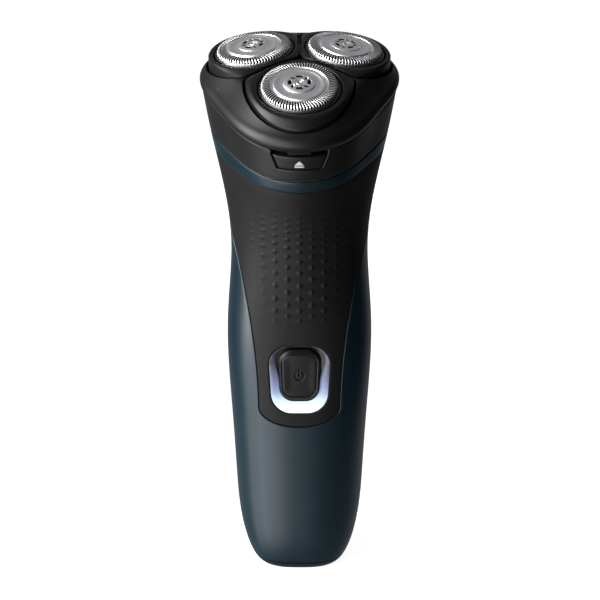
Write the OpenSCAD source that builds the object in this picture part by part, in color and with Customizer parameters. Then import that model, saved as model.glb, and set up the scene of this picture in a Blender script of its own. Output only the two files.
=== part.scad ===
// Three-head rotary shaver, standing upright on the flat end of its handle.
// +Z runs up the handle, the front faces -Y, and the origin is the middle of the foot.
// The shaving head has its own tilted frame: x across, y to the rear, z out of the cutters.
// Each cutter unit has a frame of its own on its cap: x outwards, z along the cutter's axis.

/* [Head] */
// Height of the shaving head's centre above the foot
head_z = 157.5; // [156.5:0.5:158.5]
// Forward lean of the shaving head, degrees
head_tilt = 24; // [23.5:0.5:24.5]
// Distance of each cap's centre from the head's centre
cap_ring = 15.8; // [15.7:0.1:15.9]
// Outward lean of each cap, degrees
cap_tilt = 7.6; // [7:0.2:8]
// Radius of a guard cap
cap_r = 11; // [10.8:0.1:11]
// Number of hair slots in a guard cap
cap_slots = 50; // [30:5:50]
// Number of blades on a cutter
blade_count = 15; // [9:3:15]

/* [Handle] */
// Wall thickness of the housing
wall = 1.8; // [1.6:0.1:2]
// Height over which the foot is rounded
foot_h = 26; // [22:1:28]
// Width of the foot's flat as a share of the section above it
foot_flat = 0.6; // [0.55:0.01:0.65]
// Height of the power button's middle
button_z = 64.5; // [63.5:0.5:65.5]
// Width of the power button
button_w = 13; // [12:0.5:13]
// Height of the power button
button_h = 15.6; // [15:0.2:15.6]
// Running gap between mouldings
gap = 0.15; // [0.12:0.01:0.18]

/* [Drive] */
// Gear module
gear_module = 0.5; // [0.5:0.5:0.5]
// Teeth on the motor pinion
pinion_teeth = 12; // [12:1:12]
// Teeth on the middle gear
sun_teeth = 30; // [30:1:30]
// Teeth on each drive gear
drive_teeth = 30; // [30:1:30]
// Diameter of the battery
battery_d = 14.2; // [13.8:0.1:14.4]
// Length of the battery
battery_l = 50; // [49:0.5:50.5]

/* [Hidden] */
$fn = 64;
head_y = -6;
// Directions of the three units in the head's frame: front, rear right, rear left
UNIT_ANGLE = [-90, 30, 150];
// How far each petal reaches from the head's centre
PETAL_REACH = [32.8, 30, 30];
petal_half_w = 16.3;
petal_corner = petal_half_w / tan(60);
petal_gap = 0.6;
tilt_axis_z = -7;
// Levels along the head's axis
lip_h = -11.3;
rim_h = -11.7;
floor_h = -13.4;
gear_top_h = -19.2;
gear_mid_h = -22;
gear_low_h = -25.2;
deck_h = -26;
motor_h = -28;
motor_l = 25;
motor_r = 11.9;
motor_flat = 8.8;
// The drive gears stand where the leaning cap axes cross the spindle tips
drive_r = gear_module * (sun_teeth + drive_teeth) / 2;
motor_y = -gear_module * (sun_teeth + pinion_teeth) / 2;
hinge_y = 24.4;
hinge_h = -10.6;
// Front face of the circuit board, middle and lower end of the battery
board_y = -9;
battery_y = 2.6;
battery_z = 27;
// Width of the release button at its top
release_w = 15.6;
// Middle of the light ring, whose lower side is the wider one
ring_z = button_z - 1.25;
// Posts of the inner frame that the gear deck is screwed to
post_x = 14.3;
post_y = -8.2;

// Sections of the handle from the foot to the rim under the head:
// [height, middle y, lean, half width, front depth, rear depth, three-lobe, square]
SECTIONS = [
  [0, 0.5, 0, 18.1, 16.2, 17, 0.3, -0.8],
  [22, 0.5, 0, 19.4, 17.4, 18.4, 0.3, -0.8],
  [48, 0.5, 0, 20.8, 18.4, 19.8, 0.3, -0.8],
  [76, 0.4, 1, 23.1, 18.9, 20.8, 0.3, -0.6],
  [100, 0, 8, 19.7, 17, 19.4, 0.4, -0.2],
  [118, -0.6, 17, 22.2, 21.5, 22.4, 1.2, 0],
  [133, -1, 23, 25.9, 28, 24.4, 2.3, 0.1],
  [146.8, -1.24, 24, 28.4, 34.2, 25.2, 3, 0.2]];
LAST = len(SECTIONS) - 1;
LIP = [0, 0, 0, 27.9, 34.7, 24.5, 3, 0.2];
// Where the pieces of the handle meet, as places along the list of sections
base_t = 0.12;
panel_low_t = 1.9;
panel_top_t = 5.84;
band_top_t = 6.15;
skirt_t = 5.93;
RING_SIDES = 40;

// ---- Curves ----
function ctrl(list, k) = k < 0 ? 2 * list[0] - list[1]
  : k > len(list) - 1 ? 2 * list[len(list) - 1] - list[len(list) - 2] : list[k];
// Smooth curve through the sections: a uniform cubic B-spline
function spline(list, t) = let(i = min(floor(t), len(list) - 2), f = t - i)
  ((1 - f) ^ 3 * ctrl(list, i - 1) + (3 * f ^ 3 - 6 * f ^ 2 + 4) * ctrl(list, i)
  + (-3 * f ^ 3 + 3 * f ^ 2 + 3 * f + 1) * ctrl(list, i + 1) + f ^ 3 * ctrl(list, i + 2)) / 6;
// Radius of a section at an angle measured from the front
function section_r(s, a) = let(depth = (s[4] + s[5]) / 2)
  (s[3] + depth) / 2 - s[7] + ((s[4] - s[5]) / 2 - s[6]) * cos(a)
  + (depth - s[3]) / 2 * cos(2 * a) + s[6] * cos(3 * a) + s[7] * cos(4 * a);
// Narrowing of the handle towards the rounded foot
function foot_scale(z) = z >= foot_h ? 1
  : foot_flat + (1 - foot_flat) * (1 - (1 - z / foot_h) ^ 2.3) ^ (1 / 2.3);
function handle_pt(t, a, off) = let(s = spline(SECTIONS, t), r = (section_r(s, a) + off) * foot_scale(s[0]))
  [r * sin(a), s[1] - r * cos(a) * cos(s[2]), s[0] - r * cos(a) * sin(s[2])];
function handle_ring(t, off) = [for (i = [0:RING_SIDES - 1]) handle_pt(t, 360 * i / RING_SIDES, off)];
// Places from a to b, closer together near a when the power is above 1
function steps(a, b, n, power = 1) = [for (i = [0:n]) a + (b - a) * (i / n) ^ power];
// Ring round the shaving head; steps inwards are longest at the front, so the dome is steeper elsewhere
function lip_ring(off, h) = [for (i = [0:RING_SIDES - 1])
  let(a = 360 * i / RING_SIDES, r = section_r(LIP, a) + off * (off > 0 ? 1 : 0.78 + 0.22 * cos(a)))
    [r * sin(a), -r * cos(a), h]];

// ---- Frames and helpers ----
module in_head() translate([0, head_y, head_z]) rotate([head_tilt, 0, 0]) children();
module at_unit(k) in_head() rotate(UNIT_ANGLE[k]) children();
module at_cap(k) at_unit(k) translate([cap_ring, 0, 0]) rotate([0, cap_tilt, 0]) children();
module at_gear(k) at_unit(k) translate([drive_r, 0, 0]) children();
module at_motor() in_head() translate([0, motor_y, 0]) children();
// Moulded shells are worked out as one mesh
module moulded() resize([0, 0, 0]) children();
// Closed skin over a stack of rings, listed from the bottom up
module loft(rings) {
  n = len(rings[0]);
  m = len(rings);
  polyhedron(points = [for (r = rings) each r], faces = concat(
    [[for (j = [0:n - 1]) j]],
    [for (i = [0:m - 2]) for (j = [0:n - 1]) let(k = (j + 1) % n)
      each [[i * n + j, (i + 1) * n + j, (i + 1) * n + k], [i * n + j, (i + 1) * n + k, i * n + k]]],
    [[for (j = [n - 1:-1:0]) (m - 1) * n + j]]), convexity = 6);
}
// Ring of the handle's wall: a closed outline of [place, offset] pairs carried round the section
module handle_band(outline) {
  rings = [for (p = outline) handle_ring(p[0], p[1])];
  n = RING_SIDES;
  m = len(rings);
  polyhedron(points = [for (r = rings) each r], faces = [for (i = [0:m - 1]) for (j = [0:n - 1])
    let(k = (j + 1) % n, u = (i + 1) % m * n)
      each [[i * n + j, u + j, u + k], [i * n + j, u + k, i * n + k]]], convexity = 6);
}
module handle_solid(t0, t1, off, rows, power = 1)
  loft([for (t = steps(t0, t1, rows, power)) handle_ring(t, off)]);
// Straight tube along z from low to high
module tube(ro, ri, low, high) translate([0, 0, low]) difference() {
  cylinder(r = ro, h = high - low);
  translate([0, 0, -1]) cylinder(r = ri, h = high - low + 2);
}
module rod(r, low, high, sides = 32) translate([0, 0, low]) cylinder(r = r, h = high - low, $fn = sides);
module block(lo, hi) translate(lo) cube(hi - lo);
// Plate with rounded corners, a little narrower at the bottom, standing in the XZ plane
module upright_pad(w, h, r, taper, y0, y1) translate([0, y1, 0]) rotate([90, 0, 0])
  linear_extrude(y1 - y0) offset(r, $fn = 32) polygon([[-w / 2 + r, h / 2 - r], [w / 2 - r, h / 2 - r],
    [w / 2 - r - taper, r - h / 2], [r + taper - w / 2, r - h / 2]]);
// Screw along z with its head's top at the given level
module screw(top, shank) {
  difference() {
    rod(1.7, top - 1.3, top);
    block([-1.2, -0.2, top - 0.6], [1.2, 0.2, top + 1]);
    block([-0.2, -1.2, top - 0.6], [0.2, 1.2, top + 1]);
  }
  rod(0.9, top - 1.3 - shank, top - 1.3);
}

// ---- Handle ----
// Front view of the panel: full width at the neck, then a tongue with a round end
function tongue_w(z) = z > 106 ? 40 : 12.3 + 8.6 * ((z - 54) / 52) ^ 1.9;
module tongue(grow) rotate([90, 0, 0]) linear_extrude(60) offset(delta = grow) polygon(concat(
  [for (z = [54:6.5:106]) [tongue_w(z), z]], [[40, 108], [40, 140], [-40, 140], [-40, 108]],
  [for (z = [106:-6.5:54]) [-tongue_w(z), z]],
  [for (a = [15:15:165]) [-12.3 * cos(a), 54 - 5.6 * sin(a)]]));
module main_housing() color([0.10, 0.21, 0.28]) moulded() difference() {
  handle_solid(base_t, band_top_t, 0, 19, 1.5);
  handle_solid(base_t - 0.05, band_top_t + 0.1, -wall, 18, 1.3);
  intersection() {
    tongue(gap);
    handle_solid(panel_low_t, panel_top_t, 3, 12);
  }
}
module base_cap() color([0.06, 0.12, 0.16]) difference() {
  union() {
    handle_solid(0, base_t - 0.008, 0, 4, 1.5);
    handle_solid(base_t - 0.03, base_t + 0.1, -wall - 0.45, 2);
  }
  handle_solid(0.09, base_t + 0.2, -wall - 1.6, 1);
  socket_shape(0.05, -1, 30);
}
// Outline of the charging inlet
module socket_shape(grow, low, high) translate([0, 0, low]) linear_extrude(high - low)
  hull() for (x = [-3.4, 3.4]) translate([x, 0]) circle(4 + grow, $fn = 32);
module charging_socket() color([0.05, 0.05, 0.05]) difference() {
  translate([0, 0, 0.6]) linear_extrude(14.4) union() {
    square([6.8, 7.8], center = true);
    for (x = [-3.4, 3.4]) translate([x, 0]) circle(3.9);
  }
  linear_extrude(12.6) union() {
    square([5, 6.2], center = true);
    for (x = [-2.5, 2.5]) translate([x, 0]) circle(3.1);
  }
  for (x = [-2, 2]) translate([x, 0, 10]) cylinder(r = 0.85, h = 8);
}
module socket_pins() color("silver") for (x = [-2, 2]) translate([x, 0, 0]) rod(0.8, 7.5, 17.5);
module front_panel() color([0.13, 0.13, 0.14]) moulded() difference() {
  union() {
    intersection() {
      tongue(0);
      handle_solid(panel_low_t, panel_top_t - 0.02, 0, 12);
    }
    // Flange behind the edges of the housing's window
    intersection() {
      tongue(1.4);
      handle_solid(panel_low_t - 0.08, panel_top_t - 0.02, -wall - 0.14, 8);
      block([-40, -40, 40], [40, -0.4, 140]);
    }
  }
  handle_solid(panel_low_t - 0.2, panel_top_t + 0.1, -wall - 1, 8);
  translate([0, 0, ring_z]) upright_pad(18.8, 21.3, 6.3, 0.5, -40, 0);
}
module light_ring() color([0.62, 0.78, 0.95]) moulded() difference() {
  intersection() {
    translate([0, 0, ring_z]) upright_pad(18.5, 21, 6.15, 0.5, -40, 0);
    difference() {
      handle_solid(panel_low_t, 3.4, -0.5, 4);
      handle_solid(panel_low_t - 0.1, 3.5, -3.4, 4);
    }
  }
  translate([0, 0, button_z]) upright_pad(button_w + 0.6, button_h + 0.6, 3.6, 0.3, -40, 0);
}
module power_button() color([0.09, 0.09, 0.1]) moulded() translate([0, 0, button_z]) {
  intersection() {
    upright_pad(button_w, button_h, 3.3, 0.3, -40, 0);
    translate([0, 0, -button_z]) difference() {
      handle_solid(panel_low_t, 3.4, 0.1, 4);
      handle_solid(panel_low_t - 0.1, 3.5, -2.4, 4);
    }
  }
  translate([0, -13.9, 0]) rotate([90, 0, 0]) cylinder(r = 2.6, h = 2.8, $fn = 24);
}
module button_seal() color([0.2, 0.2, 0.2]) translate([0, 0, button_z - 0.8]) difference() {
  block([-9.6, -13, -11.4], [9.6, -12.3, 11.4]);
  translate([0, 0, 0.8]) rotate([90, 0, 0]) cylinder(r = 3, h = 20);
  for (x = [-8, 8]) for (z = [-9, 2]) translate([x, 0, z]) rotate([90, 0, 0]) cylinder(r = 1.1, h = 20);
}
module switch_body() color([0.15, 0.15, 0.15]) translate([0, 0, button_z]) difference() {
  block([-3, -11.9, -3], [3, -9.05, 3]);
  rotate([90, 0, 0]) cylinder(r = 1.8, h = 20);
}
module switch_plunger() color([0.8, 0.8, 0.8]) translate([0, 0, button_z]) rotate([90, 0, 0])
  rod(1.6, 10, 13.85);
module circuit_board() color([0.05, 0.3, 0.16]) difference() {
  block([-11, board_y, 22], [11, board_y + 1.4, 96]);
  for (z = [26, 92]) translate([0, board_y - 1, z]) rotate([-90, 0, 0]) cylinder(r = 1.1, h = 4);
}
module indicator_leds() color([0.9, 0.95, 1]) for (p = [[-7.8, 66], [7.8, 66], [-4, 54], [0, 53.6], [4, 54]])
  translate([p[0], board_y - 0.05, p[1]]) block([-0.9, -1.2, -0.9], [0.9, 0, 0.9]);
module inner_frame() color([0.3, 0.3, 0.32]) difference() {
  union() {
    block([-12, board_y + 1.5, 19], [12, board_y + 2.9, 98]);
    for (s = [-1, 1]) block([s * 10.5 - 1, board_y + 2.9, 19], [s * 10.5 + 1, 8, 98]);
    for (z = [19, battery_z + battery_l + 1.5]) block([-10, board_y + 2.9, z], [10, 8, z + 2]);
    for (s = [-1, 1]) {
      block([s * 13 - 3.4, 4.5, 94], [s * 13 + 3.4, 10.5, 102]);
      in_head() translate([s * post_x, post_y, 0]) rod(2.1, motor_h - 29, deck_h - 2);
    }
  }
  for (x = [-5, 5]) translate([x, 3, 15]) cylinder(r = 1.4, h = 8);
  for (s = [-1, 1]) in_head() translate([s * post_x, post_y, 0]) rod(0.95, motor_h - 8, deck_h);
}
module battery() color([0.15, 0.45, 0.25]) translate([0, battery_y, battery_z]) {
  rod(battery_d / 2, 0, battery_l - 1, 64);
  rod(2.7, battery_l - 1, battery_l, 32);
}
module battery_tabs() color("silver") {
  for (z = [battery_z - 0.5, battery_z + battery_l + 0.1])
    block([-2.5, battery_y - 2, z], [2.5, battery_y + 8.5, z + 0.4]);
}

// ---- Motor ----
module flat_round(r, half_flat) intersection() {
  circle(r);
  square([4 * r, 2 * half_flat], center = true);
}
module motor_can() color([0.7, 0.71, 0.73]) at_motor() difference() {
  union() {
    translate([0, 0, motor_h - motor_l]) linear_extrude(motor_l) flat_round(motor_r, motor_flat);
    rod(3, motor_h, motor_h + 0.9);
  }
  translate([0, 0, motor_h - motor_l - 1]) linear_extrude(motor_l)
    flat_round(motor_r - 0.8, motor_flat - 0.8);
  rod(1.6, motor_h - 5, motor_h + 5);
  for (x = [-8, 8]) translate([x, 0, motor_h - 3]) cylinder(r = 0.95, h = 6);
}
module motor_end_cap() color([0.85, 0.85, 0.82]) at_motor() difference() {
  translate([0, 0, motor_h - motor_l - 1.6]) linear_extrude(1.55) flat_round(motor_r, motor_flat);
  rod(1.15, motor_h - motor_l - 0.9, motor_h);
  for (x = [-5, 5]) block([x - 0.3, 3, motor_h - motor_l - 3], [x + 0.3, 5.5, motor_h]);
}
module motor_magnets() color([0.25, 0.25, 0.27]) at_motor() difference() {
  rod(motor_r - 0.9, motor_h - motor_l + 2, motor_h - 4, 64);
  rod(8.4, motor_h - motor_l, motor_h);
  block([-8.6, -20, motor_h - motor_l], [8.6, 20, motor_h]);
}
module motor_shaft() color("silver") at_motor() rod(1, motor_h - motor_l - 0.8, -22.5);
module armature() color([0.72, 0.45, 0.2]) at_motor() difference() {
  union() {
    for (a = [0, 120, 240]) rotate(a) {
      block([1.5, -1.6, motor_h - 20], [6, 1.6, motor_h - 6]);
      intersection() {
        tube(7.6, 6, motor_h - 20, motor_h - 6);
        rotate(-45) block([0, 0, motor_h - 21], [9, 9, motor_h - 5]);
      }
    }
    rod(2.6, motor_h - 23, motor_h - 4);
  }
  rod(1.02, motor_h - 24, motor_h);
}
// Spur gear with involute flanks; a tooth points along +x before turning
function involute(rb, a) = [rb * (cos(a) + a * PI / 180 * sin(a)), rb * (sin(a) - a * PI / 180 * cos(a))];
function turned(p, a) = [p[0] * cos(a) - p[1] * sin(a), p[0] * sin(a) + p[1] * cos(a)];
module gear_outline(teeth) {
  rp = gear_module * teeth / 2;
  rb = rp * cos(20);
  ra = rp + 0.9 * gear_module;
  rf = rp - 1.25 * gear_module;
  pitch_roll = sqrt((rp / rb) ^ 2 - 1) * 180 / PI;
  low_roll = rf > rb ? sqrt((rf / rb) ^ 2 - 1) * 180 / PI : 0;
  top_roll = sqrt((ra / rb) ^ 2 - 1) * 180 / PI;
  pitch_pt = involute(rb, pitch_roll);
  half = 90 / teeth - 0.05 / rp * 180 / PI + atan2(pitch_pt[1], pitch_pt[0]);
  flank = [for (i = [0:3]) turned(involute(rb, low_roll + (top_roll - low_roll) * i / 3), -half)];
  root = rf * [cos(half + 0.5), -sin(half + 0.5)];
  tooth = concat([root], flank);
  polygon([for (i = [0:teeth - 1]) each [
    for (p = tooth) turned(p, 360 * i / teeth),
    for (j = [len(tooth) - 1:-1:0]) turned([tooth[j][0], -tooth[j][1]], 360 * i / teeth)]]);
}
module spur(teeth, low, high, phase) rotate(phase) translate([0, 0, low]) linear_extrude(high - low)
  gear_outline(teeth);
module pinion() color([0.8, 0.65, 0.3]) at_motor() difference() {
  spur(pinion_teeth, gear_low_h + 0.3, -22.6, 90 + 180 / pinion_teeth);
  rod(1.02, gear_low_h - 1, -20);
}
module sun_gear() color([0.92, 0.9, 0.84]) in_head() difference() {
  spur(sun_teeth, gear_low_h, gear_top_h, 90);
  rod(1.25, gear_low_h - 1, -15);
}
module drive_gear(k) color([0.92, 0.9, 0.84]) at_gear(k) difference() {
  union() {
    spur(drive_teeth, gear_mid_h, gear_top_h, 180 + 360 * gear_phase(k) / drive_teeth);
    rod(3.6, gear_top_h, -15.2);
  }
  rod(1, gear_mid_h - 1, -15);
  translate([0, 0, gear_top_h + 0.2]) cylinder(r = 2.85, h = 8);
}
// How far a drive gear is turned, in teeth, so that a gap takes the middle gear's tooth
function gear_phase(k) = let(f = (UNIT_ANGLE[k] - 90) * sun_teeth / 360) f - floor(f) + 0.5;
module gear_deck() color([0.75, 0.76, 0.78]) in_head() difference() {
  translate([0, 0, deck_h - 1.95]) linear_extrude(1.95) intersection() {
    union() {
      circle(19.5);
      for (a = UNIT_ANGLE) rotate(a) translate([drive_r, 0]) circle(5);
    }
    translate([0, -11]) square([35.6, 46.6], center = true);
  }
  rod(1.2, deck_h - 3, deck_h + 1);
  for (k = [0:2]) rotate(UNIT_ANGLE[k]) translate([drive_r, 0, deck_h - 3]) cylinder(r = 0.9, h = 5);
  translate([0, motor_y, 0]) {
    rod(3.1, deck_h - 3, deck_h + 1);
    for (x = [-8, 8]) translate([x, 0, deck_h - 3]) cylinder(r = 1, h = 5);
  }
  for (s = [-1, 1]) translate([s * post_x, post_y, deck_h - 3]) cylinder(r = 1, h = 5);
}
module gear_axles() color("silver") in_head() {
  rod(1.18, deck_h - 1.9, gear_top_h);
  for (a = UNIT_ANGLE) rotate(a) translate([drive_r, 0, 0]) rod(0.88, deck_h - 1.9, gear_top_h + 0.1);
}
module drive_spindle(k) color([0.9, 0.9, 0.88]) at_gear(k) {
  rod(2.5, -16.4, -11.8, 6);
  rod(1.3, -11.8, -6.6);
  rod(1.7, -6.6, -3.9, 6);
}
// Compression spring round the gear's axis, swept along a helix
module coil(r, wire, low, high, turns) {
  sides = 5;
  per_turn = 10;
  count = turns * per_turn;
  loft([for (i = [0:count])
    let(a = 360 * i / per_turn, z = low + wire + (high - low - 2 * wire) * i / count)
    [for (j = [0:sides - 1]) let(b = -360 * j / sides, q = r + wire * cos(b))
      [q * cos(a), q * sin(a), z + wire * sin(b)]]]);
}
module spindle_spring(k) color("silver") at_gear(k) coil(2, 0.22, gear_top_h + 0.3, -16.5, 3);

// ---- Neck ----
module chamber_floor() color([0.16, 0.16, 0.17]) moulded() difference() {
  union() {
    intersection() {
      handle_solid(6.3, LAST, -wall - 0.25, 2);
      in_head() block([-40, -50, floor_h - 1.4], [40, 40, floor_h]);
    }
    in_head() block([-2, -24.4, -17.2], [2, -23.4, floor_h - 1]);
  }
  for (k = [0:2]) at_gear(k) rod(3.3, -20, -10);
  in_head() block([-release_w / 2 - 0.5, -45, floor_h - 3], [release_w / 2 + 0.5, -27.6, -10]);
}
module spindle_seals() color([0.12, 0.12, 0.12]) for (k = [0:2]) at_gear(k)
  tube(3.2, 2.7, floor_h - 1.3, floor_h + 0.6);
module deck_screws() color("silver") in_head() for (s = [-1, 1]) translate([s * post_x, post_y, 0])
  screw(deck_h + 1.35, 5);
module motor_screws() color("silver") at_motor() for (x = [-8, 8]) translate([x, 0, 0])
  screw(deck_h + 1.35, 3);
module release_outline(grow) polygon([for (s = [-1, 1]) each let(top = s * (release_w / 2 + grow),
  low = s * (release_w / 2 - 1.6 + grow)) s < 0 ? [[low, -17.6 - grow], [top, -13.2 + grow]]
    : [[top, -13.2 + grow], [low, -17.6 - grow]]]);
module release_prism(grow, y0, y1) in_head() translate([0, y1, 0]) rotate([90, 0, 0])
  linear_extrude(y1 - y0) release_outline(grow);
module neck_collar() color([0.12, 0.12, 0.13]) moulded() {
  difference() {
    // Wall under the head with a skirt that plugs into the housing
    handle_band([[band_top_t + 0.03, 0], [6.5, 0], [6.75, 0], [LAST, 0], [LAST, -wall], [6.6, -wall],
      [band_top_t + 0.2, -wall - 0.8], [skirt_t, -wall - 0.8], [skirt_t, -wall - 0.22],
      [band_top_t + 0.03, -wall - 0.22]]);
    release_prism(0.2, -45, -25);
    in_head() block([-release_w / 2 - 0.3, -45, -13.4], [release_w / 2 + 0.3, -25, -10]);
    in_head() on_hinge(0, 3.2, 20.4, 24);
  }
  in_head() difference() {
    intersection() {
      for (p = [[0, 5], [-10.5, 4.2], [10.5, 4.2]]) hull() {
        on_hinge(p[0], 1.8, p[1], 16);
        translate([p[0], hinge_y - 0.7, -15]) cube([p[1], 1.5, 2], center = true);
      }
      block([-20, 0, -17], [20, 27, 0]);
    }
    on_hinge(0, 0.88, 40, 16);
  }
}
module release_button() color([0.12, 0.12, 0.13]) moulded() {
  intersection() {
    release_prism(0, -45, -25);
    difference() {
      handle_solid(band_top_t + 0.05, LAST, -0.1, 3);
      handle_solid(band_top_t - 0.1, LAST + 0.2, -2.6, 3);
    }
  }
  in_head() block([-4, -32.2, -16.8], [4, -27.9, -15.4]);
  in_head() block([-3.4, -31.9, -13.6], [3.4, -30.9, -12.3]);
  in_head() block([-3.4, -32.4, -14.4], [3.4, -30.9, -13.25]);
}
module release_spring() color("silver") in_head() translate([0, -26.8, -16.1]) rotate([-90, 0, 0])
  coil(0.5, 0.15, 0, 2.1, 3);
module collar_seal() color([0.05, 0.05, 0.05]) moulded() handle_band([[band_top_t + 0.003, -0.35],
  [band_top_t + 0.027, -0.35], [band_top_t + 0.027, 0.25 - wall], [band_top_t + 0.003, 0.25 - wall]]);
module hinge_pin() color("silver") in_head() translate([0, hinge_y, hinge_h]) rotate([0, 90, 0])
  rod(0.8, -12.4, 12.4);

// ---- Shaving head ----
function petal_edge(k, s) = let(reach = PETAL_REACH[k])
  [petal_corner + (reach - petal_corner) * cos(s), petal_half_w * sin(s)];
// Outline of a petal in the unit's frame, seen along the head's axis
module petal_outline(k, grow) offset(grow, $fn = 16) polygon(concat([[0, 0]],
  [for (s = [-90:7.5:90]) petal_edge(k, s)]));
module petal_prism(k, grow, low, high) rotate(UNIT_ANGLE[k]) translate([0, 0, low])
  linear_extrude(high - low) petal_outline(k, grow);
// Skins of the head frame, as steps in from the lip and heights: a rounded lip, then a low dome
FRAME_OUTER = [[0, lip_h], [0.8, -10.5], [1.2, -9.4], [1.1, -8.4], [0.3, -7.3], [-1.2, -6.4],
  [-3, -5.1], [-4.6, -3.8], [-6.2, -2.6], [-8, -1.9], [-13, -1.6]];
FRAME_INNER = [[-1.8, lip_h - 0.1], [-0.8, -10.3], [-0.45, -9.4], [-0.8, -8.6], [-2.2, -7.7],
  [-4.4, -6.2], [-6.4, -4.7], [-8.4, -3.8], [-13, -3.4]];
module frame_skin(list) loft([for (p = list) lip_ring(p[0], p[1])]);
module on_hinge(x, r, length, sides) translate([x, hinge_y, hinge_h]) rotate([0, 90, 0])
  cylinder(r = r, h = length, center = true, $fn = sides);
// Line that a petal tilts on, across the petal below the cap
module on_tilt_axis() translate([cap_ring + tilt_axis_z * sin(cap_tilt), 0, tilt_axis_z * cos(cap_tilt)])
  rotate([90, 0, 0]) children();
module head_frame() color([0.13, 0.13, 0.14]) moulded() in_head() {
  difference() {
    frame_skin(FRAME_OUTER);
    frame_skin(FRAME_INNER);
    for (k = [0:2]) rotate(UNIT_ANGLE[k]) on_tilt_axis()
      cylinder(r = 0.92, h = 36.8, center = true, $fn = 12);
    for (k = [0:2]) petal_prism(k, 0.1, -20, 0);
    on_hinge(0, 2.3, 5.6, 12);
    for (x = [-10.5, 10.5]) on_hinge(x, 2.3, 4.8, 12);
    on_hinge(0, 0.9, 40, 16);
  }
  // Knuckles on the hinge pin
  difference() {
    for (x = [-5.4, 5.4]) on_hinge(x, 1.8, 4.8, 16);
    on_hinge(0, 0.9, 40, 16);
  }
  // Three arms under the gaps between the petals, each with a thin rib standing in its gap
  for (a = [-30, 90, 210]) rotate(a) {
    intersection() {
      block([0, -1.3, -11.2], [a == 90 ? 22.4 : 40, 1.3, -9.9]);
      rotate(-a) loft([lip_ring(0, -12), lip_ring(0, 0)]);
    }
    block([0.6, -0.3, -10.5], [18, 0.3, -2]);
  }
  // Brackets that hold the petals' tilting lugs
  for (k = [0:2]) rotate(UNIT_ANGLE[k]) difference() {
    for (s = [-1, 1]) translate([cap_ring + tilt_axis_z * sin(cap_tilt), s * 17.5, tilt_axis_z - 0.4])
      cube([4.2, 1.8, 3.2], center = true);
    on_tilt_axis() cylinder(r = 0.92, h = 40, center = true, $fn = 12);
  }
  // Catch that the release button holds
  block([-3.2, -33.3, -12.9], [3.2, -32.3, -9]);
  block([-3.2, -34.8, -11.15], [3.2, -32.3, -9]);
}
// Petal skin: a flat land round the cap that rolls down to the petal's outline
function petal_ring_2d(k, inset) = let(n = 36) [for (i = [0:n - 1]) let(s = -180 + 360 * i / n)
  abs(s) <= 112
  ? let(b = s * 90 / 112, q = petal_edge(k, b)) [q[0] - inset * cos(b), q[1] * (1 - inset / petal_half_w)]
  : let(f = (180 - abs(s)) / 68)
    [petal_corner * f + 1.2 * (1 - f) + inset * 0.3, sign(s) * (petal_half_w - inset) * f]];
function land_pt(p, r) = let(d = [p[0] - cap_ring, p[1]], m = norm(d), x = r * d[0] / m)
  [cap_ring + x * cos(cap_tilt) - 1.25 * sin(cap_tilt), r * d[1] / m,
   -x * sin(cap_tilt) - 1.25 * cos(cap_tilt)];
// Fall of each petal's edge from its corners to its outermost point
EDGE_FALL = [4.4, 3.4, 3.4];
// Height of a petal's edge: nearly level along the gaps, falling away towards the outside of the head
function edge_h(k, p) = -0.3 - 1.4 * min(1, p[0] / petal_corner)
  - EDGE_FALL[k] * max(0, (p[0] - petal_corner) / (PETAL_REACH[k] - petal_corner)) ^ 1.3;
// Share of the fall at a share of the way out: a flat shelf, a soft crease, then an even slope
crease_at = 0.4;
crease_soft = 0.12;
function crease(f) = norm([f - crease_at, crease_soft]) + f - crease_at;
function petal_rings(k, inset, drop) = let(edge = petal_ring_2d(k, inset), n = len(edge))
  [for (w = [0:4]) let(f = w / 4, g = (crease(f) - crease(0)) / (crease(1) - crease(0)))
    [for (i = [0:n - 1]) let(a = land_pt(edge[i], 12.9), e = edge[i])
      [a[0] + (e[0] - a[0]) * f, a[1] + (e[1] - a[1]) * f, a[2] + (edge_h(k, e) - a[2]) * g - drop]]];
module petal_body(k, inset, drop, low) {
  rings = petal_rings(k, inset, drop);
  loft(concat([[for (p = rings[4]) [p[0], p[1], low]]], [for (w = [4:-1:0]) rings[w]]));
}
module petal_shell(k) at_unit(k) difference() {
  intersection() {
    union() {
      difference() {
        petal_body(k, 0, 0, -8.4);
        petal_body(k, 1.3, 1.4, -12);
      }
      translate([cap_ring, 0, 0]) rotate([0, cap_tilt, 0]) rod(13.7, -8, -1.25, 48);
    }
    translate([0, 0, -20]) linear_extrude(30) petal_outline(k, -petal_gap);
  }
  translate([cap_ring, 0, 0]) rotate([0, cap_tilt, 0]) {
    rod(11.98, -20, 5, 48);
    rod(12.38, -20, -3.4, 48);
    translate([0, 0, -2.4]) cylinder(r1 = 11.98, r2 = 12.7, h = 2.4, $fn = 48);
  }
}
// Lugs that the petal tilts on
module petal_lugs(k) at_unit(k) on_tilt_axis() for (s = [-1, 1]) translate([0, 0, s * 16.3])
  cylinder(r = 0.8, h = 3.4, center = true, $fn = 12);
module petal(k) color([0.1, 0.1, 0.11]) moulded() {
  petal_shell(k);
  petal_lugs(k);
}
module cap_holder(k) color([0.04, 0.04, 0.045]) at_cap(k) {
  tube(11.72, 11.04, -3.7, -1.5);
  tube(12.1, 11.04, -4.4, -3.7);
}
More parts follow.
